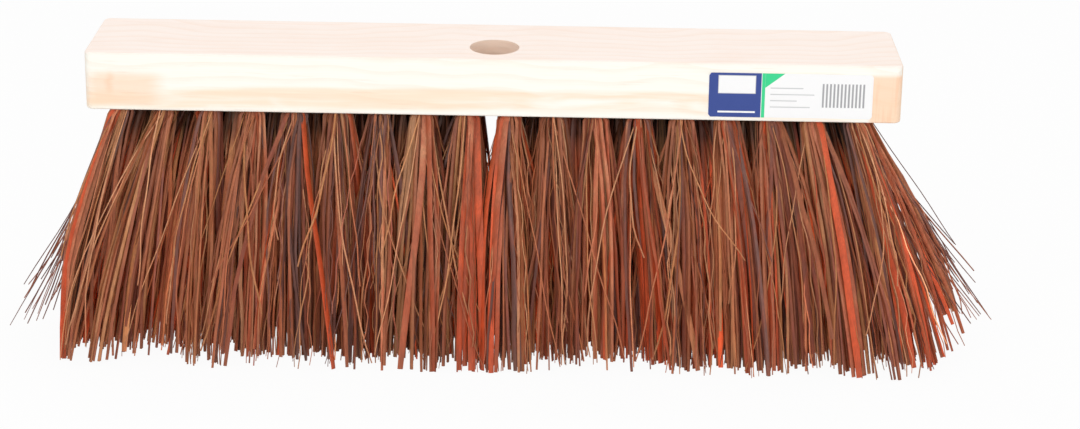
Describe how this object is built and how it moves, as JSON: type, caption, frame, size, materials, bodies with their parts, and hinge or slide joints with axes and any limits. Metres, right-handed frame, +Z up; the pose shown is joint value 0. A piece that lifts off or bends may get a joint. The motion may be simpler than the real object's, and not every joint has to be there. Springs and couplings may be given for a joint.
{
  "type": "street broom head",
  "caption": "Street broom head: a pale wooden block with a slanted round handle bore, filled with fanned tufts of coarse brown and red fibre.",
  "frame": {"origin": "on the floor, under the middle of the broom, at the bristle tips it stands on", "axes": "+X along the block to the right as seen from the labelled front, -Y out of the front face, +Z up"},
  "size_m": [0.4754, 0.1226, 0.1525],
  "materials": {
    "wood": "planed and unvarnished",
    "label_paper": "smooth coated paper",
    "mixed_fibre": "dry coarse plant fibre mixed with plastic strips"
  },
  "bodies": {
    "root": {"block": "wood", "label": "label_paper", "tuft_front_01": "mixed_fibre", "tuft_front_02": "mixed_fibre", "tuft_front_03": "mixed_fibre", "tuft_front_04": "mixed_fibre", "tuft_front_05": "mixed_fibre", "tuft_front_06": "mixed_fibre", "tuft_front_07": "mixed_fibre", "tuft_front_08": "mixed_fibre", "tuft_front_09": "mixed_fibre", "tuft_front_10": "mixed_fibre", "tuft_front_11": "mixed_fibre", "tuft_front_12": "mixed_fibre", "tuft_front_13": "mixed_fibre", "tuft_front_14": "mixed_fibre", "tuft_front_15": "mixed_fibre", "tuft_front_16": "mixed_fibre", "tuft_front_17": "mixed_fibre", "tuft_front_18": "mixed_fibre", "tuft_left_front_9": "mixed_fibre", "tuft_left_middle_9": "mixed_fibre", "tuft_left_rear_9": "mixed_fibre", "tuft_rear_01": "mixed_fibre", "tuft_rear_02": "mixed_fibre", "tuft_rear_03": "mixed_fibre", "tuft_rear_04": "mixed_fibre", "tuft_rear_05": "mixed_fibre", "tuft_rear_06": "mixed_fibre", "tuft_rear_07": "mixed_fibre", "tuft_rear_08": "mixed_fibre", "tuft_rear_09": "mixed_fibre", "tuft_rear_10": "mixed_fibre", "tuft_rear_11": "mixed_fibre", "tuft_rear_12": "mixed_fibre", "tuft_rear_13": "mixed_fibre", "tuft_rear_14": "mixed_fibre", "tuft_rear_15": "mixed_fibre", "tuft_rear_16": "mixed_fibre", "tuft_rear_17": "mixed_fibre", "tuft_rear_18": "mixed_fibre", "tuft_right_front_9": "mixed_fibre", "tuft_right_middle_9": "mixed_fibre", "tuft_right_rear_9": "mixed_fibre", "tufts_inner_left_2": "mixed_fibre", "tufts_inner_left_3": "mixed_fibre", "tufts_inner_left_4": "mixed_fibre", "tufts_inner_left_5": "mixed_fibre", "tufts_inner_left_6": "mixed_fibre", "tufts_inner_left_7": "mixed_fibre", "tufts_inner_left_8": "mixed_fibre", "tufts_inner_right_2": "mixed_fibre", "tufts_inner_right_3": "mixed_fibre", "tufts_inner_right_4": "mixed_fibre", "tufts_inner_right_5": "mixed_fibre", "tufts_inner_right_6": "mixed_fibre", "tufts_inner_right_7": "mixed_fibre", "tufts_inner_right_8": "mixed_fibre"}
  },
  "joints": []
}
